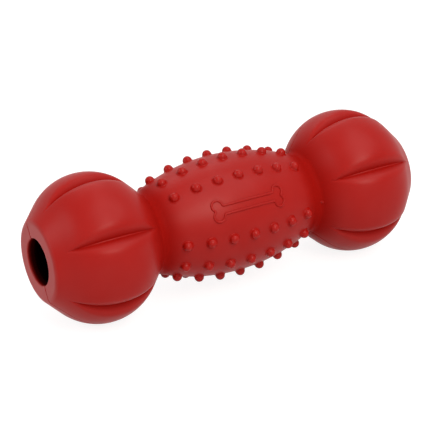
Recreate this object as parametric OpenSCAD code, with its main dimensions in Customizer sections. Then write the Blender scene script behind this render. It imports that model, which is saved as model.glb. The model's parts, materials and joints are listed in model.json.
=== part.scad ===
// A hollow rubber chew toy: two fluted balls joined by a barrel that is covered in nubs.
// The long axis runs along X, +Z is up, and the origin is the middle of the toy on its axis.
// The real toy is one moulding. It is divided here where its form changes, so that the barrel,
// the balls, the end rings, the rows of nubs and the raised marks are separate solids that meet.
// Outlines of turned shapes are written as [radius, place along the axis].

/* [Balls] */
// Diameter of each ball at its widest
ball_d = 60; // [57:0.5:64]
// Distance between the widest planes of the two balls
ball_spacing = 119; // [114:1:130]
// Diameter of each flat end, measured to the sharp corner that its rounding takes off
end_d = 31.8; // [30:0.1:34]
// Radius of the rounded crown of a ball, seen from the side
crown_r = 23; // [21.5:0.5:24.5]
// Slope of the straight shoulders on both sides of the crown, in degrees
shoulder_slope = 45.5; // [44:0.5:47]
// Thickness of the rubber wall
wall = 6; // [5:0.25:7]

/* [Barrel] */
// Diameter of the barrel at its middle
barrel_d = 48.3; // [46:0.1:51]
// Radius of the barrel's long curve, seen from the side
barrel_arc_r = 88; // [80:1:96]
// Radius of the hollow where the barrel runs into a ball
neck_fillet_r = 2.5; // [1.5:0.25:4]

/* [Ends] */
// Diameter of the treat hole in each end
mouth_d = 18.8; // [15:0.2:20]
// Thickness of the rubber ring round the treat hole
end_wall = 3.5; // [3:0.25:4.5]
// Rounding between a ball's shoulder and its flat end
end_edge_r = 3; // [2:0.25:3.5]
// Rounding of the treat hole's outer edge
lip_r = 0.8; // [0.4:0.1:1.2]
// Rounding of the treat hole's inner edge
inner_lip_r = 0.7; // [0.4:0.1:1]

/* [Flutes] */
// Number of V-shaped flutes round each ball
flute_count = 6; // [4:1:8]
// Depth of a flute at the ball's crown
flute_depth = 3; // [2:0.25:3.5]
// Distance along the axis from the tips of the flutes to the end ring
flute_gap = 0.5; // [0.25:0.25:3]
// Angle between the centre plane of a flute and either of its flanks, in degrees
flute_half_angle = 56; // [45:1:62]

/* [Nubs] */
// Diameter of a nub
nub_d = 3.9; // [3:0.1:5]
// Height of a nub above the barrel
nub_h = 2.3; // [2:0.1:3.5]
// Distance along the axis from one nub to the next
nub_pitch = 9.25; // [7:0.25:10]
// Number of nubs in a row
nubs_in_row = 7; // [3:2:7]

/* [Bone emblems] */
// Length of the raised bone outline
bone_l = 33; // [24:1:36]
// Radius of the four round ends of the bone
bone_lobe_r = 2.7; // [2.2:0.1:3]
// Distance between the centres of the two round ends on one side
bone_lobe_gap = 4.1; // [3.6:0.1:4.6]
// Width of the bone's shaft
bone_shaft_w = 4.4; // [3.6:0.1:5]
// Width of the raised line
bone_line_w = 1; // [0.7:0.1:1.3]
// Height of the raised line above the barrel
bone_relief = 0.5; // [0.3:0.1:0.8]

/* [Vent nib] */
// Diameter of the small nib that a mould vent leaves at the right neck
vent_d = 0.9; // [0.6:0.1:1.4]
// Height of the vent nib
vent_h = 0.6; // [0.45:0.05:1]
// Distance from the narrowest plane of the neck to the vent nib
vent_offset = 1.2; // [0.8:0.1:1.5]
// Angle round the neck from the front emblem to the vent nib, in degrees
vent_angle = 24; // [16:1:32]

/* [Hidden] */
$fn = 96;
// Segments of the barrel's long curve and of what the nubs sit on
long_curve_fn = 288;
rubber_red = [0.69, 0.15, 0.13];

// How far a cutting shape runs past what it cuts
overrun = 1;
// How far a rounded stretch of an outline runs into the next, so that the two cross cleanly
blend_lap = 0.005;
// How far the flute cutter turns past the tips of its flute, in degrees
tip_overrun = 2;

// Places round the axis, in degrees from the top towards the front
row_step = 30;
front_turn = 2 * row_step;
back_turn = front_turn + 180;
vent_turn = front_turn + vent_angle;
row_turns = [
    for (turn = [0 : row_step : 360 - row_step])
        if (turn != front_turn && turn != back_turn) turn
];

// Ball and end values
ball_r = ball_d / 2;
mouth_r = mouth_d / 2;
crown_x = ball_spacing / 2;
crown_y = ball_r - crown_r;
ball_reach = (shoulder_radius(0, 0) - end_d / 2) / tan(shoulder_slope);
end_x = crown_x + ball_reach;
ring_x = end_x - end_wall;

// Barrel values
barrel_r = barrel_d / 2;
barrel_y = barrel_r - barrel_arc_r;

// Radius of a shoulder line, moved in by inset, at a distance from the widest plane
function shoulder_radius(inset, distance) =
    crown_y + (crown_r - blend_lap - inset) / cos(shoulder_slope) - distance * tan(shoulder_slope);

// Point where a shoulder line, moved in by inset, lies nearest to the centre of the crown's arc
function crown_point(inset, slope) =
    [crown_y + (crown_r - blend_lap - inset) * cos(slope),
     crown_x + (crown_r - blend_lap - inset) * sin(slope)];

// The neck fillet touches the inner shoulder and the barrel's long curve, which gives a quadratic
neck_base = shoulder_radius(-neck_fillet_r, 0) - barrel_y;
neck_a = 1 + pow(tan(shoulder_slope), 2);
neck_b = crown_x + neck_base * tan(shoulder_slope);
neck_c = pow(crown_x, 2) + pow(neck_base, 2) - pow(barrel_arc_r + neck_fillet_r, 2);
neck_distance = (neck_b - sqrt(pow(neck_b, 2) - neck_a * neck_c)) / neck_a;
neck_x = crown_x - neck_distance;
neck_y = shoulder_radius(-neck_fillet_r, neck_distance);

// Point where the neck fillet, moved in by inset, touches the ball's shoulder
function neck_on_ball(inset) =
    [neck_y - (neck_fillet_r + inset) * cos(shoulder_slope),
     neck_x + (neck_fillet_r + inset) * sin(shoulder_slope)];

// Point where the neck fillet, moved in by inset, touches the barrel's long curve
neck_slope = asin(neck_x / (barrel_arc_r + neck_fillet_r));
function neck_on_barrel(inset) =
    [barrel_y + (barrel_arc_r - inset) * cos(neck_slope), (barrel_arc_r - inset) * sin(neck_slope)];

// Centre of the rounding between the outer shoulder and the flat end
corner_x = end_x - end_edge_r;
corner_y = shoulder_radius(end_edge_r, corner_x - crown_x);

// The crease of a flute is an arc through its two tips, at flute_reach on both sides of the widest
// plane, and its deepest point
flute_reach = ball_reach - end_wall - flute_gap;
flute_sag = ball_r - flute_depth - shoulder_radius(0, flute_reach);
crease_r = (pow(flute_reach, 2) + pow(flute_sag, 2)) / (2 * flute_sag);
crease_y = ball_r - flute_depth - crease_r;
crease_reach = asin(flute_reach / crease_r);

// Turns an outline about the long axis
module turned() {
    rotate([0, 90, 0])
        rotate_extrude()
            children();
}

// Places a shape that stands along +Z on the toy's top, turned towards the front
module at_turn(turn) {
    rotate([turn, 0, 0])
        children();
}

// Solid outline of one ball, moved in by inset, from the neck to the plane at far_x
module ball_outline(inset, far_x) {
    difference() {
        intersection() {
            union() {
                translate([crown_y, crown_x])
                    circle(r = crown_r - inset);
                polygon([
                    [0, neck_x],
                    [neck_y, neck_x],
                    neck_on_ball(inset),
                    crown_point(inset, -shoulder_slope),
                    crown_point(inset, shoulder_slope),
                    [shoulder_radius(inset, ball_reach), end_x],
                    [0, end_x]
                ]);
            }
            translate([0, neck_x])
                square([ball_d, far_x - neck_x]);
        }
        translate([neck_y, neck_x])
            circle(r = neck_fillet_r + blend_lap + inset);
    }
}

// Solid outline of the barrel, moved in by inset, from neck to neck
module barrel_outline(inset) {
    difference() {
        union() {
            intersection() {
                translate([barrel_y, 0])
                    circle(r = barrel_arc_r - inset, $fn = long_curve_fn);
                translate([0, -neck_x])
                    square([barrel_d, 2 * neck_x]);
            }
            polygon([
                [0, -neck_x],
                [neck_y, -neck_x],
                [neck_on_barrel(inset)[0], -neck_on_barrel(inset)[1]],
                neck_on_barrel(inset),
                [neck_y, neck_x],
                [0, neck_x]
            ]);
        }
        for (side = [-1, 1])
            translate([neck_y, side * neck_x])
                circle(r = neck_fillet_r + blend_lap + inset);
    }
}

// What to cut from a corner of an outline, between two directions in degrees, to round it
module corner_waste(centre, corner_r, from_angle, to_angle) {
    function along(angle, distance) = centre + distance * [cos(angle), sin(angle)];
    difference() {
        polygon([
            centre,
            along(from_angle, 2 * corner_r),
            along((from_angle + to_angle) / 2, 4 * corner_r),
            along(to_angle, 2 * corner_r)
        ]);
        translate(centre)
            circle(r = corner_r + blend_lap);
    }
}

// Outline of the ring round a treat hole
module end_ring_outline() {
    difference() {
        intersection() {
            ball_outline(0, end_x);
            translate([mouth_r, ring_x])
                square([ball_d, end_wall + overrun]);
        }
        corner_waste([corner_y, corner_x], end_edge_r, shoulder_slope, 90);
        corner_waste([mouth_r + lip_r, end_x - lip_r], lip_r, 90, 180);
        corner_waste([mouth_r + inner_lip_r, ring_x + inner_lip_r], inner_lip_r, 180, 270);
    }
}

// Cutter for one V-shaped flute on the right ball, at the top
module flute_cutter() {
    cutter_h = flute_depth + overrun;
    cutter_w = cutter_h * tan(flute_half_angle);
    half_turn = crease_reach + tip_overrun;
    translate([crown_x, 0, crease_y])
        rotate([90, 0, 0])
            rotate_extrude(angle = 2 * half_turn, start = 90 - half_turn)
                polygon([
                    [crease_r, 0],
                    [crease_r + cutter_h, cutter_w],
                    [crease_r + cutter_h, -cutter_w]
                ]);
}

// Fluted hollow ball on the right, open at the neck and at the end ring
module ball() {
    color(rubber_red)
        difference() {
            turned()
                difference() {
                    ball_outline(0, ring_x);
                    ball_outline(wall, ring_x);
                }
            for (i = [0 : flute_count - 1])
                at_turn(front_turn + i * 360 / flute_count)
                    flute_cutter();
        }
}

module right_ball() {
    ball();
}

module left_ball() {
    mirror([1, 0, 0])
        ball();
}

// Ring round the treat hole, with the flat end face
module right_end_ring() {
    color(rubber_red)
        turned()
            end_ring_outline();
}

module left_end_ring() {
    mirror([1, 0, 0])
        right_end_ring();
}

// Hollow barrel between the two necks
module barrel() {
    color(rubber_red)
        turned()
            difference() {
                barrel_outline(0);
                barrel_outline(wall);
            }
}

// One domed nub, square to the barrel's long curve at a place along the axis
module nub(place) {
    dome_r = nub_d / 2;
    translate([0, 0, barrel_y])
        rotate([0, asin(place / barrel_arc_r), 0])
            translate([0, 0, barrel_arc_r - overrun]) {
                cylinder(r = dome_r, h = nub_h - dome_r + overrun);
                translate([0, 0, nub_h - dome_r + overrun])
                    sphere(r = dome_r);
            }
}

// A row of nubs along the barrel, cut to sit on its surface
module nub_row(row) {
    middle = (nubs_in_row - 1) / 2;
    color(rubber_red)
        difference() {
            at_turn(row_turns[row - 1])
                for (i = [0 : nubs_in_row - 1])
                    nub((i - middle) * nub_pitch);
            turned()
                barrel_outline(0);
        }
}

// Plain bone shape, moved in by inset, with its length along X
module bone_outline(inset) {
    lobe_x = bone_l / 2 - bone_lobe_r;
    for (x = [-lobe_x, lobe_x], y = [-bone_lobe_gap / 2, bone_lobe_gap / 2])
        translate([x, y])
            circle(r = bone_lobe_r - inset);
    square([2 * lobe_x, bone_shaft_w - 2 * inset], center = true);
}

// Raised outline of a bone that follows the barrel's surface
module bone_emblem(turn) {
    color(rubber_red)
        intersection() {
            at_turn(turn)
                linear_extrude(height = barrel_d)
                    difference() {
                        bone_outline(0);
                        bone_outline(bone_line_w);
                    }
            turned()
                intersection() {
                    difference() {
                        translate([barrel_y, 0])
                            circle(r = barrel_arc_r + bone_relief, $fn = long_curve_fn);
                        translate([barrel_y, 0])
                            circle(r = barrel_arc_r, $fn = long_curve_fn);
                    }
                    translate([0, -bone_l / 2])
                        square([barrel_d, bone_l]);
                }
        }
}

// Small nib left by a mould vent, at the right neck
module vent_nib() {
    place = neck_x + vent_offset;
    seat_r = neck_y - sqrt(pow(neck_fillet_r, 2) - pow(vent_offset, 2));
    color(rubber_red)
        difference() {
            at_turn(vent_turn)
                translate([place, 0, seat_r - overrun]) {
                    cylinder(d = vent_d, h = overrun + vent_h - vent_d / 2);
                    translate([0, 0, overrun + vent_h - vent_d / 2])
                        sphere(d = vent_d);
                }
            turned()
                ball_outline(0, ring_x);
        }
}

barrel();
left_ball();
right_ball();
left_end_ring();
right_end_ring();
nub_row(1);  // nub_row_01
nub_row(2);  // nub_row_02
nub_row(3);  // nub_row_03
nub_row(4);  // nub_row_04
nub_row(5);  // nub_row_05
nub_row(6);  // nub_row_06
nub_row(7);  // nub_row_07
nub_row(8);  // nub_row_08
nub_row(9);  // nub_row_09
nub_row(10);  // nub_row_10
bone_emblem(front_turn);  // front_bone_emblem
bone_emblem(back_turn);  // back_bone_emblem
vent_nib();
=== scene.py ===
# %% [markdown]
# # A hollow rubber chew toy
#
# The real toy is one moulding of red natural rubber: two hollow balls with pressed flutes, a
# bulged barrel with rows of nubs between them, and a treat hole in each end. The imported model
# gives each of these features its place. This script dresses every feature in a finer mesh that
# keeps that place, adds the small marks that a mould leaves on rubber, and lights the toy softly
# on a white table.
#
# We begin by loading the imported model. It is never moved.

import json
import math

import bmesh
import bpy
from mathutils import Matrix, Vector


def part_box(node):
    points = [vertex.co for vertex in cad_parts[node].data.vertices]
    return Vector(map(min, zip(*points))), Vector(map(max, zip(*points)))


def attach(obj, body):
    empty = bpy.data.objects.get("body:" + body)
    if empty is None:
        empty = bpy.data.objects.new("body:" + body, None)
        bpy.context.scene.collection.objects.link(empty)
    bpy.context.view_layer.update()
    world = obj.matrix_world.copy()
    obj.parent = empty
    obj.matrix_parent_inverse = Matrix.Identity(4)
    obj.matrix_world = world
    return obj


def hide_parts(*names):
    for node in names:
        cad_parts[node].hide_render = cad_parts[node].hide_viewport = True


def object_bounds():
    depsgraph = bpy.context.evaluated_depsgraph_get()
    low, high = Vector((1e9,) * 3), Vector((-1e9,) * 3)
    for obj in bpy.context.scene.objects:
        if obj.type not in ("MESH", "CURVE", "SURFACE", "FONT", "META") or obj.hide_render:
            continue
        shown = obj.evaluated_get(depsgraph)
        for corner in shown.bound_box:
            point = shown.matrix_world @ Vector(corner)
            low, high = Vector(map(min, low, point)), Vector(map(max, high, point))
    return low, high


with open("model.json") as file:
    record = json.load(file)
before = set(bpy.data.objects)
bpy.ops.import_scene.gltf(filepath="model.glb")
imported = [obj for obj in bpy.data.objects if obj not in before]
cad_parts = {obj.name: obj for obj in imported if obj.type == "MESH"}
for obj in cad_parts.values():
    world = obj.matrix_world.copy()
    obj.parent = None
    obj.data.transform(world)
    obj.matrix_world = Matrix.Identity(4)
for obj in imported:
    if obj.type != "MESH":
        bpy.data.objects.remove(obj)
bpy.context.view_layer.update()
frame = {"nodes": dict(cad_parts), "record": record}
MM = 0.001


def in_mm(lengths):
    """Lengths in millimetres, for printing."""
    return [round(length / MM, 2) for length in lengths]


# %% [markdown]
# ## The shape in a few sizes
#
# Seen from the side, each ball is a round crown with straight shoulders, and the barrel is one
# long flat curve that eases into a soft valley at each neck. Only those curves need typing here.
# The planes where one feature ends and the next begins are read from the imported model, and so is
# the treat hole, so each dressed piece ends where its packed one does. The barrel's own arc isn't
# typed: it is the one that rises from neck to middle and runs smoothly out of the valley.
#
# An outline point is written as (place along the axis, radius).

# %% Sizes of the outline
ball_r = 30 * MM
ball_spacing = 119 * MM
crown_r = 23 * MM
shoulder_slope = math.radians(45.5)
wall = 6 * MM
barrel_r = 24.15 * MM
neck_fillet_r = 2.5 * MM
neck_valley_r = 5.5 * MM
end_edge_r = 3 * MM
lip_r = 0.5 * MM
inner_lip_r = 0.7 * MM

mounts = {mount["name"]: mount for mount in frame["record"]["mounts"]}
mouth_r = mounts["right_treat_hole"]["dims"]["r_mm"] * MM
neck_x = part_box("right_ball")[0].x
ring_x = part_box("right_end_ring")[0].x
end_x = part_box("right_end_ring")[1].x
crown_x = ball_spacing / 2
crown_y = ball_r - crown_r
print("neck, ring and end planes, mm:", in_mm((neck_x, ring_x, end_x)))


# %% Centres of the arcs
def shoulder_radius(inset, distance):
    """Radius of a shoulder line, moved in by inset, at a distance from the ball's widest plane."""
    rise = (crown_r - inset) / math.cos(shoulder_slope)
    return crown_y + rise - distance * math.tan(shoulder_slope)


def along(centre, radius, angle):
    """Point at a radius from a centre. Angle 0 points away from the axis, and 90 towards the right."""
    return (centre[0] + radius * math.sin(angle), centre[1] + radius * math.cos(angle))


crown_centre = (crown_x, crown_y)
neck_centre = (neck_x, shoulder_radius(-neck_fillet_r, crown_x - neck_x))
corner_x = end_x - end_edge_r
corner_centre = (corner_x, shoulder_radius(end_edge_r, corner_x - crown_x))

neck_r = neck_centre[1] - neck_fillet_r
barrel_rise = barrel_r - neck_r
barrel_arc_r = (neck_x**2 + barrel_rise**2) / (2 * barrel_rise) - neck_valley_r
barrel_y = barrel_r - barrel_arc_r
valley_centre = (neck_x, neck_r + neck_valley_r)
neck_slope = math.asin(neck_x / (barrel_arc_r + neck_valley_r))
print("outer neck radius and barrel's arc, mm:", in_mm((neck_r, barrel_arc_r)))

# %% [markdown]
# ## Marks on a mesh
#
# Later steps have to know which part of the toy a vertex belongs to, so each vertex carries four
# marks, from 0 to 1, in layers of its bmesh. Skin is 1 on the outside of the toy and in its treat
# holes. Hollow grows from 0 at a treat hole's lip to 1 in the hollow, and says how much painted
# shade darkens the bore. Crevice says how much of a crease a place is, and so how much shade is
# painted there, and bloom how much wax has risen there. The finished mesh keeps all four as
# attributes, and the rubber materials read the last three.
#
# All layers are made before the first vertex, because a new layer makes a bmesh forget the
# vertices that a script still holds.

# %% Marks
MARKS = ("skin", "hollow", "crevice", "bloom")


def new_shape():
    """An empty bmesh with a layer for each mark."""
    bm = bmesh.new()
    for name in MARKS:
        bm.verts.layers.float.new(name)
    return bm


def mark(bm, name):
    """The layer that holds one of a shape's marks."""
    return bm.verts.layers.float[name]


# %% [markdown]
# ## Drawing an outline
#
# A turned shape starts as a line drawing. We could type its points one by one, but a drawing
# made of arcs and straight stretches stays exact and can be refined by changing a step count.
# The spin operator gives both: spun about an axis square to the page, a single vertex leaves an
# arc behind it, and with a stride in place of an angle it leaves a straight line. The new
# vertices inherit the marks of the old one.

# %% Arcs and lines
def start_outline(point):
    """A new shape with one vertex, on the skin."""
    bm = new_shape()
    vert = bm.verts.new((point[0], 0, point[1]))
    vert[mark(bm, "skin")] = 1
    return bm, vert


def last_vert(made):
    """The vertex that a spin ended on."""
    return next(item for item in made["geom_last"] if isinstance(item, bmesh.types.BMVert))


def arc(bm, vert, centre, degrees, steps):
    """Carries an outline on round a centre, clockwise as seen from the front."""
    made = bmesh.ops.spin(
        bm, geom=[vert], cent=(centre[0], 0, centre[1]), axis=(0, 1, 0), dvec=(0, 0, 0),
        angle=math.radians(degrees), steps=steps,
        use_merge=False, use_normal_flip=False, use_duplicate=False,
    )
    return last_vert(made)


def line(bm, vert, end, steps):
    """Carries an outline on in a straight line to a point."""
    stride = (Vector((end[0], 0, end[1])) - vert.co) / steps
    made = bmesh.ops.spin(
        bm, geom=[vert], cent=(0, 0, 0), axis=(0, 1, 0), dvec=stride, angle=0, steps=steps,
        use_merge=False, use_normal_flip=False, use_duplicate=False,
    )
    return last_vert(made)


def go_inside(bm, vert, end):
    """Crosses a joint's plane to the hollow, where vertices no longer belong to the skin."""
    inside = bm.verts.new((end[0], 0, end[1]))
    inside[mark(bm, "hollow")] = 1
    bm.edges.new((vert, inside))
    return inside


# %% [markdown]
# ## Turning an outline
#
# The same operator turns the finished outline into a solid. A hollow piece is turned about the
# toy's long axis, one sector at a time, and a small piece such as a nub about its own axis.

# %% Solids of revolution
WELD = 0.5e-6


def spin_round(bm, stretches, sectors):
    """Spins the outline about the long axis, in stretches of (degrees, steps) that fill a sector.

    Spinning with use_duplicate then sets copies of the sector side by side until the ring closes.
    """
    ring = list(bm.verts) + list(bm.edges)
    for degrees, steps in stretches:
        made = bmesh.ops.spin(
            bm, geom=ring, cent=(0, 0, 0), axis=(1, 0, 0), dvec=(0, 0, 0),
            angle=math.radians(degrees), steps=steps,
            use_merge=False, use_normal_flip=False, use_duplicate=False,
        )
        ring = made["geom_last"]
    sector = list(bm.verts) + list(bm.edges) + list(bm.faces)
    bmesh.ops.spin(
        bm, geom=sector, cent=(0, 0, 0), axis=(1, 0, 0), dvec=(0, 0, 0),
        angle=2 * math.pi * (1 - 1 / sectors), steps=sectors - 1,
        use_merge=False, use_normal_flip=False, use_duplicate=True,
    )
    bmesh.ops.remove_doubles(bm, verts=bm.verts, dist=WELD)
    bmesh.ops.recalc_face_normals(bm, faces=bm.faces)


def turn_upright(bm, meridians):
    """Turns an outline that starts and ends on the Z axis into a closed solid."""
    bmesh.ops.spin(
        bm, geom=list(bm.verts) + list(bm.edges), cent=(0, 0, 0), axis=(0, 0, 1), dvec=(0, 0, 0),
        angle=2 * math.pi, steps=meridians,
        use_merge=True, use_normal_flip=False, use_duplicate=False,
    )
    bmesh.ops.remove_doubles(bm, verts=bm.verts, dist=WELD)


# %% [markdown]
# ## Where the mesh has to be fine
#
# Turns are measured from the top towards the front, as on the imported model. Each ball has six
# flutes, one of them under the front emblem at 60 degrees. The bottom of a flute is a crease
# about as sharp as a fold in paper, while the panel between two flutes is plain. So half a
# panel, from crease to middle, is spun in four stretches: very fine at the crease, fine over
# the flute's soft lip, coarse on the plain panel, and very fine again at its middle, where the
# parting line of the mould will run.
#
# The barrel has no flutes. Each half of it, from the top round to the bottom, is coarse up to
# the parting line, which lies a quarter turn past the emblem, and coarse again beyond it.

# %% Stretches round the axis
flute_count = 6
front_degrees = 60
crease_stretch = (1.2, 12)
lip_stretch = (12.8, 22)
panel_stretch = (15, 8)
parting_stretch = (1, 5)
half_panel = [crease_stretch, lip_stretch, panel_stretch, parting_stretch]
ball_stretches = half_panel + half_panel[::-1]

mould_halves = 2
before_parting = (90 + front_degrees - parting_stretch[0], 99)
after_parting = (90 - front_degrees - parting_stretch[0], 20)
barrel_stretches = [before_parting, parting_stretch, parting_stretch, after_parting]
print("meridians on a ball:", flute_count * sum(steps for _, steps in ball_stretches))
print("meridians on the barrel:", mould_halves * sum(steps for _, steps in barrel_stretches))

# %% [markdown]
# ## The flutes
#
# In the mould a flute is a ridge, bent along an arc, that presses into the ball. Cutting it out
# with a boolean would leave hard lips and long thin faces. Instead each vertex of the skin is
# asked how deep the crease lies under it and how far aside the crease is, and is pressed in by
# a share of that depth. The share falls off as a cube, fast at the crease and slowly far from
# it, so the panels roll into the flute as full, round lips and meet in a sharp crease. It reaches
# twice as far aside as the flank of a plain V would. Where the flute is deep, a hair-thin bead
# along its bottom is the mark of the ridge's edge.
#
# The flanks next to the crease get the crevice mark, which paints shade into them.

# %% Sizes of the flutes
front_turn = math.radians(front_degrees)
flute_depth = 3 * MM
flute_gap = 0.5 * MM
flute_half_angle = math.radians(56)
flute_spread = 2
flute_fullness = 3
crease_round = 0.1 * MM
crease_bead_half_w = 0.32 * MM
crease_bead_h = 0.3 * MM
shaded_depth = 1 * MM
shaded_shares = (0.68, 0.97)

flute_reach = ring_x - flute_gap - crown_x
flute_sag = ball_r - flute_depth - shoulder_radius(0, flute_reach)
crease_r = (flute_reach**2 + flute_sag**2) / (2 * flute_sag)
crease_y = ball_r - flute_depth - crease_r
shoulder_end_x = neck_x + neck_fillet_r * math.sin(shoulder_slope)
print("arc of a crease, mm:", in_mm((crease_r, crease_y)))


# %% Press the flutes
def ramp(value, low, high):
    """0 up to low, 1 from high on, and straight in between."""
    return min(1, max(0, (value - low) / (high - low)))


def bump(distance, half_width):
    """1 in the middle of a strip, falling smoothly to 0 at its edges."""
    share = min(1, abs(distance) / half_width)
    return (1 - share**2) ** 2


def flute_press(crease_under, lateral):
    """How far the skin is pressed in, and its crevice mark, at a distance aside of a crease."""
    flank = (math.hypot(lateral, crease_round) - crease_round) / math.tan(flute_half_angle)
    share = max(0, 1 - flank / (flute_spread * crease_under))
    bead = bump(lateral, crease_bead_half_w) * ramp(crease_under, shaded_depth, flute_depth)
    shade = ramp(crease_under, 0, shaded_depth) * ramp(share, *shaded_shares) * (1 - bead)
    return crease_under * share**flute_fullness - crease_bead_h * bead, shade


def press_flutes(bm):
    """Presses the flutes into the skin of the right ball or its end ring."""
    skin = mark(bm, "skin")
    crevice = mark(bm, "crevice")
    step = 2 * math.pi / flute_count
    deepest = 0
    for vert in bm.verts:
        if vert[skin] == 0:
            continue
        radius = math.hypot(vert.co.y, vert.co.z)
        turn = math.atan2(-vert.co.y, vert.co.z)
        aside = (turn - front_turn + step / 2) % step - step / 2
        up = Vector((0, -math.sin(turn - aside), math.cos(turn - aside)))
        lateral = radius * math.sin(aside)
        outwards = Vector((vert.co.x - crown_x, radius * math.cos(aside) - crease_y))
        crease_under = outwards.length - crease_r
        if crease_under <= 0 or vert.co.x <= shoulder_end_x:
            continue
        depth, shade = flute_press(crease_under, lateral)
        outwards.normalize()
        vert.co -= depth * (outwards.x * Vector((1, 0, 0)) + outwards.y * up)
        vert[crevice] = max(vert[crevice], shade)
        deepest = max(deepest, depth)
    print("deepest flute, mm:", round(deepest / MM, 2))


# %% [markdown]
# ## Necks and the parting line
#
# Two more places get the crevice mark, which paints shade into them. Where the barrel meets a
# ball, the valley lies in shade, and a wide, soft painted shade is laid on both sides of the neck.
# The parting line is where the two halves of the mould met: a hairline in the plane between front
# and back. It is really cut, so that it shows in the bare mesh too, and shade is painted into it.

# %% Shade the necks and cut the parting line
neck_shade_half_w = 9 * MM
parting_half_w = 0.3 * MM
parting_depth = 0.15 * MM


def shade_necks(bm):
    """Paints shade on the skin on both sides of each neck, through the crevice mark."""
    skin = mark(bm, "skin")
    crevice = mark(bm, "crevice")
    for vert in bm.verts:
        shade = bump(abs(vert.co.x) - neck_x, neck_shade_half_w)
        vert[crevice] = max(vert[crevice], shade * vert[skin])


def cut_parting_line(bm):
    """Cuts the mould's hairline into the skin, and paints shade into it through the crevice mark."""
    skin = mark(bm, "skin")
    crevice = mark(bm, "crevice")
    across = Vector((0, -math.sin(front_turn), math.cos(front_turn)))
    bm.normal_update()
    moves = []
    for vert in bm.verts:
        shade = bump(vert.co.dot(across), parting_half_w)
        if vert[skin] == 0 or shade == 0:
            continue
        faces = [face for face in vert.link_faces if all(corner[skin] for corner in face.verts)]
        outwards = sum((face.normal for face in faces), Vector()).normalized()
        moves.append((vert, shade, outwards))
    for vert, shade, outwards in moves:
        vert.co -= outwards * parting_depth * shade
        # Painted shade in the cut.
        vert[crevice] = max(vert[crevice], shade)
    print("vertices on the parting line:", len(moves))


# %% [markdown]
# ## Rubber, from three shared effects
#
# Satin moulded rubber looks even, but it is never one flat colour. Three small effects do most
# of the work, and each is a shader node group, so that every rubber in the scene can use it with
# its own values:
#
# - mottle: the colour drifts a little, because pigment never mixes perfectly;
# - moulded grain: the fine tooth of a blasted mould, plus a slow unevenness from shrinking;
# - painted crease shade: creases are painted a deeper colour, with less of the waxy film, for the
#   shade that falls in them.
#
# They read Object coordinates, which stay with the toy however it is turned. A graph is easiest
# to read from its inputs to its output, so nodes are added in that order here, and each input is
# given either a plain value or the output of an earlier node.

# %% Node helpers
def feed(tree, socket, value):
    """Links an input to another node's output, or sets it to a plain value."""
    if isinstance(value, bpy.types.NodeSocket):
        tree.links.new(value, socket)
    else:
        socket.default_value = value


def fill(tree, node, inputs):
    """Feeds inputs by their names, with _ for a space, and returns the node."""
    for name, value in inputs.items():
        feed(tree, node.inputs[name.replace("_", " ")], value)
    return node


def add_node(tree, kind, **inputs):
    """Adds a node and feeds its inputs by their names."""
    return fill(tree, tree.nodes.new(kind), inputs)


def add_in_order(tree, kind, *operands):
    """Adds a node whose inputs share a name, and feeds them in their order."""
    node = tree.nodes.new(kind)
    for socket, operand in zip(node.inputs, operands):
        feed(tree, socket, operand)
    return node


def add_math(tree, operation, *operands):
    """Adds a Math node and returns its output."""
    node = add_in_order(tree, "ShaderNodeMath", *operands)
    node.operation = operation
    return node.outputs[0]


def mix_colors(tree, blend, share, first, second):
    """Adds a Mix node for colours and returns its output."""
    node = tree.nodes.new("ShaderNodeMix")
    node.data_type = "RGBA"
    node.blend_type = blend
    return fill(tree, node, {"Factor": share, "A": first, "B": second}).outputs["Result"]


# %% Group helpers
def new_group(name, inputs, outputs):
    """A node group with named sockets: its tree, what it is given, and its output node."""
    tree = bpy.data.node_groups.new(name, "ShaderNodeTree")
    for socket, kind, value in inputs:
        made = tree.interface.new_socket(socket, in_out="INPUT", socket_type=kind)
        made.default_value = value
    for socket, kind in outputs:
        tree.interface.new_socket(socket, in_out="OUTPUT", socket_type=kind)
    return tree, tree.nodes.new("NodeGroupInput").outputs, tree.nodes.new("NodeGroupOutput")


def use_group(tree, group, **inputs):
    """Places a node group in a material with its own values."""
    node = tree.nodes.new("ShaderNodeGroup")
    node.node_tree = group
    return fill(tree, node, inputs)


# %% Mottle
def make_mottle():
    """Colour that drifts by a small amount over a few millimetres."""
    tree, given, result = new_group(
        "mottle",
        [
            ("Vector", "NodeSocketVector", (0, 0, 0)),
            ("Color", "NodeSocketColor", (0.5, 0.5, 0.5, 1)),
            ("Scale", "NodeSocketFloat", 60),
            ("Amount", "NodeSocketFloat", 0.1),
        ],
        [("Color", "NodeSocketColor")],
    )
    noise = add_node(
        tree, "ShaderNodeTexNoise",
        Vector=given["Vector"], Scale=given["Scale"], Detail=4, Roughness=0.55,
    )
    centred = add_math(tree, "SUBTRACT", noise.outputs["Fac"], 0.5)
    level = add_math(tree, "MULTIPLY_ADD", centred, given["Amount"], 1)
    drifted = add_node(tree, "ShaderNodeHueSaturation", Color=given["Color"], Value=level)
    fill(tree, result, {"Color": drifted.outputs["Color"]})
    return tree


mottle = make_mottle()
print("shared effect:", mottle.name)


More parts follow.
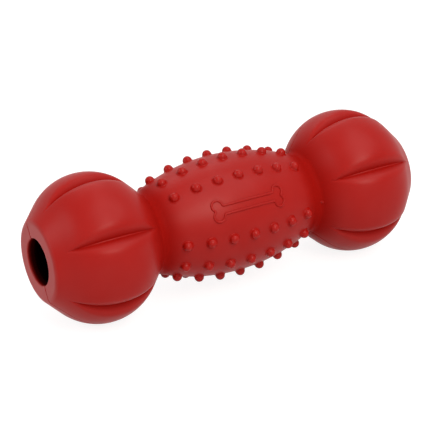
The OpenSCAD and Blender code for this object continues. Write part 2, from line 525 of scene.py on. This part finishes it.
# %% Moulded grain
def make_grain():
    """Height and roughness of a blasted mould, with a slow unevenness under it."""
    tree, given, result = new_group(
        "moulded_grain",
        [
            ("Vector", "NodeSocketVector", (0, 0, 0)),
            ("Grain Scale", "NodeSocketFloat", 2500),
            ("Wave Scale", "NodeSocketFloat", 90),
            ("Grain Share", "NodeSocketFloat", 0.3),
            ("Smooth Roughness", "NodeSocketFloat", 0.4),
            ("Rough Roughness", "NodeSocketFloat", 0.5),
        ],
        [("Height", "NodeSocketFloat"), ("Roughness", "NodeSocketFloat")],
    )
    grain = add_node(
        tree, "ShaderNodeTexNoise",
        Vector=given["Vector"], Scale=given["Grain Scale"], Detail=2, Roughness=0.6,
    )
    wave = add_node(
        tree, "ShaderNodeTexNoise",
        Vector=given["Vector"], Scale=given["Wave Scale"], Detail=1, Roughness=0.4,
    )
    height = add_node(
        tree, "ShaderNodeMix",
        Factor=given["Grain Share"], A=wave.outputs["Fac"], B=grain.outputs["Fac"],
    )
    finish = add_node(
        tree, "ShaderNodeMapRange", Value=wave.outputs["Fac"],
        To_Min=given["Smooth Roughness"], To_Max=given["Rough Roughness"],
    )
    fill(tree, result, {"Height": height.outputs["Result"], "Roughness": finish.outputs["Result"]})
    return tree


moulded_grain = make_grain()
print("shared effect:", moulded_grain.name)


# %% Painted crease shade
def make_painted_crease_shade():
    """Paints shade: deepens the colour and thins the film where a mask says that the surface is a
    crease.
    """
    tree, given, result = new_group(
        "painted_crease_shade",
        [
            ("Color", "NodeSocketColor", (0.5, 0.5, 0.5, 1)),
            ("Mask", "NodeSocketFloat", 0),
            ("Depth", "NodeSocketFloat", 0.5),
        ],
        [("Color", "NodeSocketColor"), ("Film", "NodeSocketFloat")],
    )
    amount = add_math(tree, "MULTIPLY", given["Mask"], given["Depth"])
    deeper = mix_colors(tree, "MULTIPLY", amount, given["Color"], given["Color"])
    film = add_math(tree, "SUBTRACT", 1, given["Mask"])
    fill(tree, result, {"Color": deeper, "Film": film})
    return tree


painted_crease_shade = make_painted_crease_shade()
print("shared effect:", painted_crease_shade.name)

# %% [markdown]
# ## The rubber itself
#
# The shader is a plain Principled one. Its base colour is a deep red with almost no green or
# blue, because what looks pink in a photograph of red rubber is the white room mirrored in it.
# Natural rubber has a soft, waxy veil. Nearly all of it is a thin coat, whose weight can follow
# the grain and the creases, and the shader's own specular level is close to nothing. On the flat
# end faces the wax blooms, and the coat is heavier. Towards the hollow the coat ends and the
# colour is painted almost black: painted shade, because little light gets into the hollow. Towards the
# hollow the coat ends and the
# colour goes almost black, because the core that shaped it was powdered and little light gets in.
#
# The nubs get a rubber of their own. Parts that stand proud are rubbed, so it is shinier and has
# less wax on it, and its colour is painted a shade lighter, for the light that a small nub lets
# through.

# %% Colour and film
rubber_red = (0.375, 0.0083, 0.0055, 1)
# Painted light: the nubs' red is lighter, for light that passes through a small nub.
nub_red = (0.4, 0.0083, 0.0055, 1)
# Painted shade: the near-black of the hollow, where little light gets in.
painted_hollow_shade = (0.04, 0.001, 0.0008, 1)
hollow_dullness = 0.55
bloom_film = 0.2
specular_level = 0.005
mottle_scale = 70
mottle_amount = 0.12
# How much painted shade deepens the colour in a crease.
painted_crease_depth = 0.25


def read_mark(tree, name):
    """Adds a node that reads one of the mesh's marks, and returns its output."""
    node = tree.nodes.new("ShaderNodeAttribute")
    node.attribute_name = name
    return node.outputs["Fac"]


# %% Rubber materials
def make_rubber(name, red, film_weights, roughness, grain_height):
    """Rubber with drifting colour, a moulded grain, and painted shade in its creases and its hollow.

    The film's weight and the roughness are given as (lowest, highest).
    """
    material = bpy.data.materials.new(name)
    material.use_nodes = True
    tree = material.node_tree
    place = add_node(tree, "ShaderNodeTexCoord").outputs["Object"]
    crevice = read_mark(tree, "crevice")
    hollow = read_mark(tree, "hollow")
    bloom = read_mark(tree, "bloom")
    grain = use_group(
        tree, moulded_grain,
        Vector=place, Smooth_Roughness=roughness[0], Rough_Roughness=roughness[1],
    )
    relief = add_node(
        tree, "ShaderNodeBump", Strength=1, Distance=grain_height, Height=grain.outputs["Height"]
    )
    drift = use_group(
        tree, mottle,
        Vector=place, Color=mix_colors(tree, "MIX", hollow, red, painted_hollow_shade),
        Scale=mottle_scale, Amount=mottle_amount,
    )
    # Painted shade: creases and the hollow get a deeper colour and a thinner coat.
    shade = use_group(
        tree, painted_crease_shade, Color=drift.outputs["Color"],
        Mask=add_math(tree, "MAXIMUM", crevice, hollow), Depth=painted_crease_depth,
    )
    tooth = add_node(
        tree, "ShaderNodeMapRange",
        Value=grain.outputs["Height"], To_Min=film_weights[0], To_Max=film_weights[1],
    )
    film = add_math(tree, "MULTIPLY_ADD", bloom, bloom_film, tooth.outputs["Result"])
    duller = add_math(tree, "MULTIPLY_ADD", hollow, hollow_dullness, grain.outputs["Roughness"])
    fill(tree, tree.nodes["Principled BSDF"], {
        "Base Color": shade.outputs["Color"],
        "Roughness": duller,
        "Specular IOR Level": specular_level,
        "Coat Weight": add_math(tree, "MULTIPLY", film, shade.outputs["Film"]),
        "Coat Roughness": roughness[1],
        "Normal": relief.outputs["Normal"],
    })
    return material


satin_rubber = make_rubber("satin_red_rubber", rubber_red, (0.22, 0.44), (0.3, 0.37), 0.03 * MM)
nub_rubber = make_rubber("rubbed_lightened_red_rubber", nub_red, (0.19, 0.38), (0.17, 0.21), 0.02 * MM)
print("rubbers:", [satin_rubber.name, nub_rubber.name])

# %% [markdown]
# ## From bmesh to piece
#
# Every piece ends the same way. Edges where the skin meets a hidden joint are marked sharp, so
# that the smooth shading of the skin isn't bent by them, and the mesh becomes an object that
# rides on the toy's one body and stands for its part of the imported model.

# %% Finish a piece
JOINT_ANGLE = math.radians(25)


def finish_piece(node, bm, material):
    """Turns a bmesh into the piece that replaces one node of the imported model."""
    skin = mark(bm, "skin")
    bmesh.ops.recalc_face_normals(bm, faces=bm.faces)
    for face in bm.faces:
        face.smooth = True
    for edge in bm.edges:
        sides = {all(corner[skin] for corner in face.verts) for face in edge.link_faces}
        if len(sides) == 2 and edge.calc_face_angle(0) > JOINT_ANGLE:
            edge.smooth = False
    mesh = bpy.data.meshes.new(node + "_rubber")
    bm.to_mesh(mesh)
    bm.free()
    piece = bpy.data.objects.new(mesh.name, mesh)
    bpy.context.scene.collection.objects.link(piece)
    mesh.materials.append(material)
    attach(piece, "root")
    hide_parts(node)
    low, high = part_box(node)
    print(piece.name, len(mesh.polygons), "faces, packed model's size there, mm:", in_mm(high - low))


def flip_to_left(bm):
    """Mirrors a shape to the toy's left end. Normals are put right when the piece is finished."""
    bmesh.ops.scale(bm, vec=(-1, 1, 1), verts=bm.verts)


# %% [markdown]
# ## The balls
#
# A ball is a thick shell, open towards the barrel and towards the end ring. The outline runs
# once round its wall: out of the neck's fillet, up the inner shoulder, over the crown, down the
# outer shoulder, and back along the inside at the wall's thickness. Its first step is only 0.3
# degrees long, so the skin leaves the joint level with the axis. The barrel's skin does so too,
# and the two pieces shade as one.

# %% Ball
seam_degrees = 0.3
slope_degrees = math.degrees(shoulder_slope)


def ball_outline():
    """Outline of the right ball's wall."""
    bm, first = start_outline(along(neck_centre, neck_fillet_r, math.pi))
    vert = arc(bm, first, neck_centre, -seam_degrees, steps=1)
    vert = arc(bm, vert, neck_centre, seam_degrees - slope_degrees, steps=7)
    vert = line(bm, vert, along(crown_centre, crown_r, -shoulder_slope), steps=11)
    vert = arc(bm, vert, crown_centre, 2 * slope_degrees, steps=58)
    vert = line(bm, vert, (ring_x, shoulder_radius(0, ring_x - crown_x)), steps=8)
    vert = go_inside(bm, vert, (ring_x, shoulder_radius(wall, ring_x - crown_x)))
    vert = line(bm, vert, along(crown_centre, crown_r - wall, shoulder_slope), steps=3)
    vert = arc(bm, vert, crown_centre, -2 * slope_degrees, steps=22)
    vert = line(bm, vert, along(neck_centre, neck_fillet_r + wall, math.pi - shoulder_slope), steps=3)
    vert = arc(bm, vert, neck_centre, slope_degrees, steps=5)
    bm.edges.new((vert, first))
    return bm


def make_ball(side):
    """The ball at one end of the toy."""
    bm = ball_outline()
    spin_round(bm, ball_stretches, flute_count)
    press_flutes(bm)
    shade_necks(bm)
    cut_parting_line(bm)
    if side == "left":
        flip_to_left(bm)
    finish_piece(side + "_ball", bm, satin_rubber)


for side in ("left", "right"):
    make_ball(side)

# %% [markdown]
# ## The end rings
#
# Each ball ends in a thick ring round its treat hole. It carries the last of the shoulder, a
# rounded corner, the flat face that the toy can stand on, a soft lip and the bore itself.
# Because it meets the ball on a straight stretch of shoulder, the seam between the two pieces
# can't be seen. The flutes and the parting line are run over it as well, so they cross it
# without a step.
#
# Two marks are set here. Hollow grows down the bore, so that the red fades into painted shade,
# nearly black, where little light reaches. Bloom covers the flat face and fades out round its
# corner: wax that rises out of rubber stays on a face that nothing rubs, and makes it paler than
# the ball.

# %% End ring
bore_fade = 1.6 * MM


def end_ring_outline():
    """Outline of the right end ring."""
    start = (ring_x, shoulder_radius(0, ring_x - crown_x))
    lip_centre = (end_x - lip_r, mouth_r + lip_r)
    inner_lip_centre = (ring_x + inner_lip_r, mouth_r + inner_lip_r)
    bm, first = start_outline(start)
    vert = line(bm, first, along(corner_centre, end_edge_r, shoulder_slope), steps=5)
    vert = arc(bm, vert, corner_centre, 90 - slope_degrees, steps=8)
    vert = line(bm, vert, (end_x, mouth_r + lip_r), steps=5)
    vert = arc(bm, vert, lip_centre, 90, steps=7)
    vert = line(bm, vert, (ring_x + inner_lip_r, mouth_r), steps=5)
    vert = arc(bm, vert, inner_lip_centre, 90, steps=5)
    vert = go_inside(bm, vert, (ring_x, shoulder_radius(wall, ring_x - crown_x)))
    bm.edges.new((vert, first))
    hollow = mark(bm, "hollow")
    for vert in bm.verts:
        if vert.co.z < lip_centre[1]:
            # Painted shade, deeper towards the hollow.
            vert[hollow] = ramp(end_x - vert.co.x, 0, bore_fade)
    return bm


def bloom_face(bm):
    """Marks the flat end face, and the turn of its corner more and more towards the face."""
    skin = mark(bm, "skin")
    bloom = mark(bm, "bloom")
    turn_x = corner_x + end_edge_r * math.sin(shoulder_slope)
    for vert in bm.verts:
        vert[bloom] = vert[skin] * ramp(vert.co.x, turn_x, end_x)


def make_end_ring(side):
    """The ring round the treat hole at one end of the toy."""
    bm = end_ring_outline()
    spin_round(bm, ball_stretches, flute_count)
    bloom_face(bm)
    press_flutes(bm)
    cut_parting_line(bm)
    if side == "left":
        flip_to_left(bm)
    finish_piece(side + "_end_ring", bm, satin_rubber)


for side in ("left", "right"):
    make_end_ring(side)

# %% [markdown]
# ## The barrel
#
# The barrel is the grip between the balls: one long arc that eases into a soft valley at each
# neck. It is turned like the balls, but without flutes, so it can be coarse everywhere except
# along the parting line.

# %% Barrel
neck_degrees = math.degrees(neck_slope)
left_valley_centre = (-neck_x, valley_centre[1])
barrel_centre = (0, barrel_y)


def barrel_outline():
    """Outline of the barrel's wall, from the left neck to the right and back inside."""
    bm, first = start_outline((-neck_x, neck_r))
    vert = arc(bm, first, left_valley_centre, -seam_degrees, steps=1)
    vert = arc(bm, vert, left_valley_centre, seam_degrees - neck_degrees, steps=9)
    vert = arc(bm, vert, barrel_centre, 2 * neck_degrees, steps=64)
    vert = arc(bm, vert, valley_centre, seam_degrees - neck_degrees, steps=9)
    vert = arc(bm, vert, valley_centre, -seam_degrees, steps=1)
    vert = go_inside(bm, vert, (neck_x, neck_r - wall))
    vert = arc(bm, vert, valley_centre, neck_degrees, steps=5)
    vert = arc(bm, vert, barrel_centre, -2 * neck_degrees, steps=32)
    vert = arc(bm, vert, left_valley_centre, neck_degrees, steps=5)
    bm.edges.new((vert, first))
    return bm


def make_barrel():
    """The hollow barrel."""
    bm = barrel_outline()
    spin_round(bm, barrel_stretches, mould_halves)
    shade_necks(bm)
    cut_parting_line(bm)
    finish_piece("barrel", bm, satin_rubber)


make_barrel()

# %% [markdown]
# ## The nubs
#
# A nub is a small dome with a fillet that runs it out into the barrel. The imported model has the
# dome alone. Here one outline draws dome, fillet and a short skirt that dips under the surface,
# and a spin about the nub's own axis makes the solid. A light crevice mark round its base paints
# a little shade into the fillet.

# %% One nub
nub_r = 1.95 * MM
nub_h = 2.3 * MM
nub_fillet_r = 0.6 * MM
nub_skirt_w = 0.35 * MM
nub_skirt_dip = 0.02 * MM
nub_root = 0.5 * MM
nub_shade = 0.45
nub_meridians = 32


def make_nub_mesh():
    """One nub, standing on the origin along +Z."""
    dome_y = nub_h - nub_r
    reach = nub_r + nub_fillet_r
    fillet_x = math.sqrt(reach**2 - (nub_fillet_r - dome_y) ** 2)
    sweep = math.degrees(math.atan2(fillet_x, nub_fillet_r - dome_y))
    bm, vert = start_outline((0, nub_h))
    vert = arc(bm, vert, (0, dome_y), sweep, steps=9)
    vert = arc(bm, vert, (fillet_x, nub_fillet_r), -sweep, steps=6)
    vert = line(bm, vert, (fillet_x + nub_skirt_w, -nub_skirt_dip), steps=1)
    vert = line(bm, vert, (fillet_x + nub_skirt_w, -nub_root), steps=1)
    line(bm, vert, (0, -nub_root), steps=2)
    turn_upright(bm, nub_meridians)
    crevice = mark(bm, "crevice")
    for vert in bm.verts:
        # Painted shade round the nub's base.
        vert[crevice] = nub_shade * (1 - ramp(vert.co.z, nub_fillet_r / 2, 2 * nub_fillet_r))
    mesh = bpy.data.meshes.new("nub")
    bm.to_mesh(mesh)
    bm.free()
    print("faces of a nub:", len(mesh.polygons))
    return mesh


nub_mesh = make_nub_mesh()

# %% [markdown]
# ## Rows of nubs
#
# Each copy of the nub is settled on the barrel: a vertex is lowered by as much as the barrel
# falls away under it, so the skirt follows the curved surface all the way round. The rows are
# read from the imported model, which also says how far round the axis each one is.

# %% Rows of nubs
nub_pitch = 9.25 * MM
nubs_in_row = 7


def barrel_fall(place, ahead, aside):
    """How far the barrel falls away, ahead and aside of a place along the axis."""
    tilt = math.asin(place / barrel_arc_r)
    round_r = barrel_arc_r + barrel_y / math.cos(tilt)
    fall_ahead = barrel_arc_r - math.sqrt(barrel_arc_r**2 - ahead**2)
    return fall_ahead + round_r - math.sqrt(round_r**2 - aside**2)


def add_nub(bm, place, turn):
    """Settles a nub on the barrel at a place along the axis and a turn about it."""
    known = len(bm.verts)
    bm.from_mesh(nub_mesh)
    bm.verts.ensure_lookup_table()
    verts = bm.verts[known:]
    for vert in verts:
        vert.co.z -= barrel_fall(place, vert.co.x, vert.co.y)
    tilt = Matrix.Rotation(math.asin(place / barrel_arc_r), 4, "Y")
    stand = Matrix.Translation((0, 0, barrel_y)) @ tilt @ Matrix.Translation((0, 0, barrel_arc_r))
    bmesh.ops.transform(bm, matrix=Matrix.Rotation(turn, 4, "X") @ stand, verts=verts)


def row_turn(node):
    """How far round the axis a node lies, to the nearest degree."""
    low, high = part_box(node)
    middle = (low + high) / 2
    return math.radians(round(math.degrees(math.atan2(-middle.y, middle.z))))


for node in sorted(frame["nodes"]):
    if node.startswith("nub_row"):
        bm = bmesh.new()
        for i in range(nubs_in_row):
            add_nub(bm, (i - (nubs_in_row - 1) / 2) * nub_pitch, row_turn(node))
        finish_piece(node, bm, nub_rubber)

# %% [markdown]
# ## The bone emblems
#
# A raised outline of a plain bone stands in the space between two rows, at the front and at the
# back. A mould maker cuts such a line with a ball-nosed tool, so on the rubber it is a bead of
# half-round section. The bead is a small circle swept along the bone's edge with the spin
# operator: arcs round the four knuckles and the small hollows between them, and straight
# stretches along the shaft.

# %% Bead along a bone
bead_r = 0.55 * MM
bead_top = 0.5 * MM
bead_segments = 14
knuckle_x = 13.8 * MM
knuckle_y = 2.05 * MM
knuckle_r = 2.2 * MM
shaft_y = 1.7 * MM
shaft_fillet_r = 0.8 * MM
notch_fillet_r = 0.6 * MM
degrees_a_step = 15
shaft_steps = 10


def sweep_bead(bm, ring, centre, degrees, stride, steps):
    """Sweeps the bead's last ring round a centre, or along a stride, and returns the new last ring."""
    made = bmesh.ops.spin(
        bm, geom=ring, cent=(*centre, 0), axis=(0, 0, 1), dvec=(stride, 0, 0),
        angle=math.radians(degrees), steps=steps,
        use_merge=False, use_normal_flip=False, use_duplicate=False,
    )
    return made["geom_last"]


def bone_stretches():
    """Half the shaft's length, and the bead's arcs round the right end, as (centre, degrees)."""
    fillet_y = shaft_y + shaft_fillet_r
    fillet_reach = math.sqrt((knuckle_r + shaft_fillet_r) ** 2 - (fillet_y - knuckle_y) ** 2)
    notch_reach = math.sqrt((knuckle_r + notch_fillet_r) ** 2 - knuckle_y**2)
    fillet_angle = 90 - math.degrees(math.atan2(fillet_y - knuckle_y, fillet_reach))
    notch_angle = math.degrees(math.atan2(knuckle_y, notch_reach))
    knuckle_angle = fillet_angle + 90 + notch_angle
    fillet_x = knuckle_x - fillet_reach
    upper = [((fillet_x, fillet_y), fillet_angle), ((knuckle_x, knuckle_y), -knuckle_angle)]
    notch = [((knuckle_x + notch_reach, 0), 2 * notch_angle)]
    lower = [((x, -y), degrees) for (x, y), degrees in upper[::-1]]
    return fillet_x, upper + notch + lower


def make_bead():
    """The whole bead, lying flat, with its length along X."""
    bm = new_shape()
    facing = Matrix.Translation((0, shaft_y, 0)) @ Matrix.Rotation(math.pi / 2, 4, "Y")
    circle = bmesh.ops.create_circle(bm, segments=bead_segments, radius=bead_r, matrix=facing)
    ring = circle["verts"] + list(bm.edges)
    half_shaft, arcs = bone_stretches()
    for side in (1, -1):
        ring = sweep_bead(bm, ring, (0, 0), 0, side * half_shaft / shaft_steps, shaft_steps)
        for (x, y), degrees in arcs:
            steps = math.ceil(abs(degrees) / degrees_a_step)
            ring = sweep_bead(bm, ring, (side * x, side * y), degrees, 0, steps)
        ring = sweep_bead(bm, ring, (0, 0), 0, -side * half_shaft / shaft_steps, shaft_steps)
    bmesh.ops.remove_doubles(bm, verts=bm.verts, dist=WELD)
    print("length of a bone, mm:", round(2 * (knuckle_x + knuckle_r + bead_r) / MM, 2))
    return bm


# %% [markdown]
# ## Laying the emblems on the barrel
#
# The flat bead is bent onto the barrel: each vertex keeps its place along and across, and its
# height becomes a height above the curved surface. The foot of the bead gets the crevice mark,
# which paints shade there, so the line is drawn by painted shade as well as by its real shadow.

# %% Lay the emblems on the barrel
def lay_on_barrel(bm, turn):
    """Bends a flat shape onto the barrel, facing a turn about the axis."""
    skin = mark(bm, "skin")
    crevice = mark(bm, "crevice")
    for vert in bm.verts:
        height = vert.co.z - (bead_r - bead_top)
        tilt = math.asin(vert.co.x / barrel_arc_r)
        radius = barrel_y + barrel_arc_r * math.cos(tilt)
        aside = math.asin(vert.co.y / radius)
        normal = Vector((
            math.sin(tilt), math.cos(tilt) * math.sin(aside), math.cos(tilt) * math.cos(aside)
        ))
        foot = Vector((vert.co.x, vert.co.y, radius * math.cos(aside)))
        vert.co = foot + height * normal
        vert[skin] = 1
        # Painted shade at the bead's foot.
        vert[crevice] = 1 - ramp(height, 0, bead_top)
    bmesh.ops.rotate(bm, cent=(0, 0, 0), matrix=Matrix.Rotation(turn, 3, "X"), verts=bm.verts)


for node in ("front_bone_emblem", "back_bone_emblem"):
    bead = make_bead()
    lay_on_barrel(bead, row_turn(node))
    finish_piece(node, bead, satin_rubber)

# %% [markdown]
# ## The vent nib
#
# Air leaves a mould through pinholes, and rubber that creeps into one leaves a tiny nib. This
# toy has one at the right neck. It is a peg with a rounded top that flares into the surface.

# %% Vent nib
nib_r = 0.45 * MM
nib_h = 0.6 * MM
nib_flare_r = 0.35 * MM
nib_root = 0.4 * MM
nib_meridians = 20


def make_vent_nib():
    """The nib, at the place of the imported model's nib."""
    low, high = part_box("vent_nib")
    nib_x = (low.x + high.x) / 2
    seat = neck_centre[1] - math.sqrt(neck_fillet_r**2 - (nib_x - neck_x) ** 2)
    peg_y = nib_h - nib_r
    bm, vert = start_outline((0, nib_h))
    vert = arc(bm, vert, (0, peg_y), 90, steps=5)
    vert = arc(bm, vert, (nib_r + nib_flare_r, peg_y), -90, steps=4)
    vert = line(bm, vert, (nib_r + nib_flare_r, peg_y - nib_flare_r - nib_root), steps=1)
    line(bm, vert, (0, peg_y - nib_flare_r - nib_root), steps=1)
    turn_upright(bm, nib_meridians)
    turn = Matrix.Rotation(row_turn("vent_nib"), 4, "X")
    bmesh.ops.transform(bm, matrix=turn @ Matrix.Translation((nib_x, 0, seat)), verts=bm.verts)
    finish_piece("vent_nib", bm, satin_rubber)


make_vent_nib()

# %% [markdown]
# ## The camera
#
# The photograph was taken with a long lens, from the front left and a little above. The lens
# follows from the size of the toy in the picture, and the place from the fitted direction,
# distance and tilt. The camera looks at a point beside the toy's middle, because the toy isn't
# quite centred in the frame.

# %% Camera
image_px = 433
focal_px = 1638
sensor_w = 36
camera_azimuth = math.radians(-30.05)
camera_elevation = math.radians(24.51)
camera_roll = math.radians(-1.57)
camera_distance = 665.7 * MM
aim = Vector((-2.78, 0.88, -1.39)) * MM


def direction(azimuth, elevation):
    """Unit vector from the toy. Azimuth 0 is the front, and grows towards the right."""
    level = math.cos(elevation)
    return Vector((math.sin(azimuth) * level, -math.cos(azimuth) * level, math.sin(elevation)))


camera_data = bpy.data.cameras.new("camera")
camera_data.lens = sensor_w * focal_px / image_px
camera_data.sensor_width = sensor_w
camera_data.clip_start = 10 * MM
camera_data.clip_end = 100
camera = bpy.data.objects.new("camera", camera_data)
towards_camera = direction(camera_azimuth, camera_elevation)
camera.location = aim + camera_distance * towards_camera
level_view = towards_camera.to_track_quat("Z", "Y").to_matrix()
camera.rotation_euler = (level_view @ Matrix.Rotation(camera_roll, 3, "Z")).to_euler()
bpy.context.scene.collection.objects.link(camera)
bpy.context.scene.camera = camera
print("lens, mm:", round(camera_data.lens, 1))

# %% [markdown]
# ## Table and room
#
# The photograph shows the toy on pure white. The table is a pale floor that the camera sees as
# white, with the toy's soft shadow left in. Mirror-like rays see the same white, so the rubber
# reflects the room that the picture shows. For all other rays it is plain matt paint, which
# throws light back up under the toy. The room is an even white tent, and it too is dimmer as a
# light than as a background.

# %% Rays that see the background
def seen_rays(tree):
    """1 for camera, glossy and transmission rays, and 0 for the rays that only carry light."""
    path = add_node(tree, "ShaderNodeLightPath").outputs
    some = add_math(tree, "ADD", path["Is Camera Ray"], path["Is Glossy Ray"])
    every = add_math(tree, "ADD", some, path["Is Transmission Ray"])
    every.node.use_clamp = True
    return every


# %% Floor
floor_half_w = 20
floor_paint = (0.75, 0.75, 0.75, 1)
shadow_paint = (0.3, 0.3, 0.3, 1)
floor_white = 0.88


def make_floor_paint():
    """White with the shadow left in for rays that see the floor, and matt paint for the rest."""
    material = bpy.data.materials.new("pale_floor")
    material.use_nodes = True
    tree = material.node_tree
    tree.nodes.remove(tree.nodes["Principled BSDF"])
    paint = add_node(tree, "ShaderNodeBsdfDiffuse", Color=floor_paint)
    shaded = add_node(tree, "ShaderNodeBsdfDiffuse", Color=shadow_paint)
    white = add_node(tree, "ShaderNodeEmission", Strength=floor_white)
    seen = add_in_order(tree, "ShaderNodeAddShader", shaded.outputs[0], white.outputs[0])
    mixed = add_in_order(
        tree, "ShaderNodeMixShader", seen_rays(tree), paint.outputs[0], seen.outputs[0]
    )
    fill(tree, tree.nodes["Material Output"], {"Surface": mixed.outputs[0]})
    return material


def make_floor():
    """A wide pale floor under the toy."""
    bm = bmesh.new()
    bmesh.ops.create_grid(bm, x_segments=1, y_segments=1, size=floor_half_w)
    bmesh.ops.translate(bm, vec=(0, 0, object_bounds()[0].z), verts=bm.verts)
    mesh = bpy.data.meshes.new("floor")
    bm.to_mesh(mesh)
    bm.free()
    mesh.materials.append(make_floor_paint())
    floor = bpy.data.objects.new("floor", mesh)
    bpy.context.scene.collection.objects.link(floor)
    print("floor at, mm:", round(mesh.vertices[0].co.z / MM, 2))


make_floor()

# %% Room
room_light = 0.36
room_white = 1
no_tint = (1, 1, 1, 1)


def make_room():
    """An even white room, dimmer as a light than as a background."""
    world = bpy.data.worlds.new("room")
    world.use_nodes = True
    tree = world.node_tree
    dim = fill(tree, tree.nodes["Background"], {"Color": no_tint, "Strength": room_light})
    bright = add_node(tree, "ShaderNodeBackground", Color=no_tint, Strength=room_white)
    mixed = add_in_order(
        tree, "ShaderNodeMixShader", seen_rays(tree), dim.outputs[0], bright.outputs[0]
    )
    fill(tree, tree.nodes["World Output"], {"Surface": mixed.outputs[0]})
    bpy.context.scene.world = world


make_room()

# %% [markdown]
# ## Lamps
#
# Five softboxes stand round the toy. The key is high over the front, to the camera's right and
# slightly warm, and gives each ball its broad soft highlight. A wide box overhead lights the
# tops, one low at the left end opens the end face and the left flanks, a weak one low at the
# front opens the undersides, and one behind draws the upper edges.

# %% Softboxes
def softbox(name, azimuth, elevation, distance, width, height, glow, color):
    """A lamp of a given size, brightness and colour that faces the toy. A glow of 1 is white."""
    lamp = bpy.data.lights.new(name, "AREA")
    lamp.color = color
    lamp.shape = "RECTANGLE"
    lamp.size = width
    lamp.size_y = height
    lamp.energy = glow * math.pi * width * height
    box = bpy.data.objects.new(name, lamp)
    away = direction(math.radians(azimuth), math.radians(elevation))
    box.location = distance * away
    box.rotation_euler = away.to_track_quat("Z", "Y").to_euler()
    box.visible_camera = False
    bpy.context.scene.collection.objects.link(box)
    print(name, "energy, W:", round(lamp.energy, 2))


plain_white = (1, 1, 1)
warm_white = (1, 0.94, 0.84)

# Name, azimuth and elevation in degrees, distance, width and height in metres, glow, colour.
softbox("key_softbox", 0, 42, 1.1, 0.52, 0.54, 5.4, warm_white)
softbox("top_softbox", 45, 70, 1.2, 1.1, 1, 1.7, plain_white)
softbox("left_softbox", -102, 27, 1.3, 0.65, 0.8, 2.3, plain_white)
softbox("front_softbox", -2, 15, 1.4, 1, 0.35, 0.7, plain_white)
softbox("back_softbox", 165, 45, 1.4, 0.9, 0.7, 1.4, plain_white)

# %% [markdown]
# ## Colours as written
#
# The Standard view transform shows a colour as it was typed, which suits a product picture on
# white.

# %% View transform
bpy.context.scene.view_settings.view_transform = "Standard"
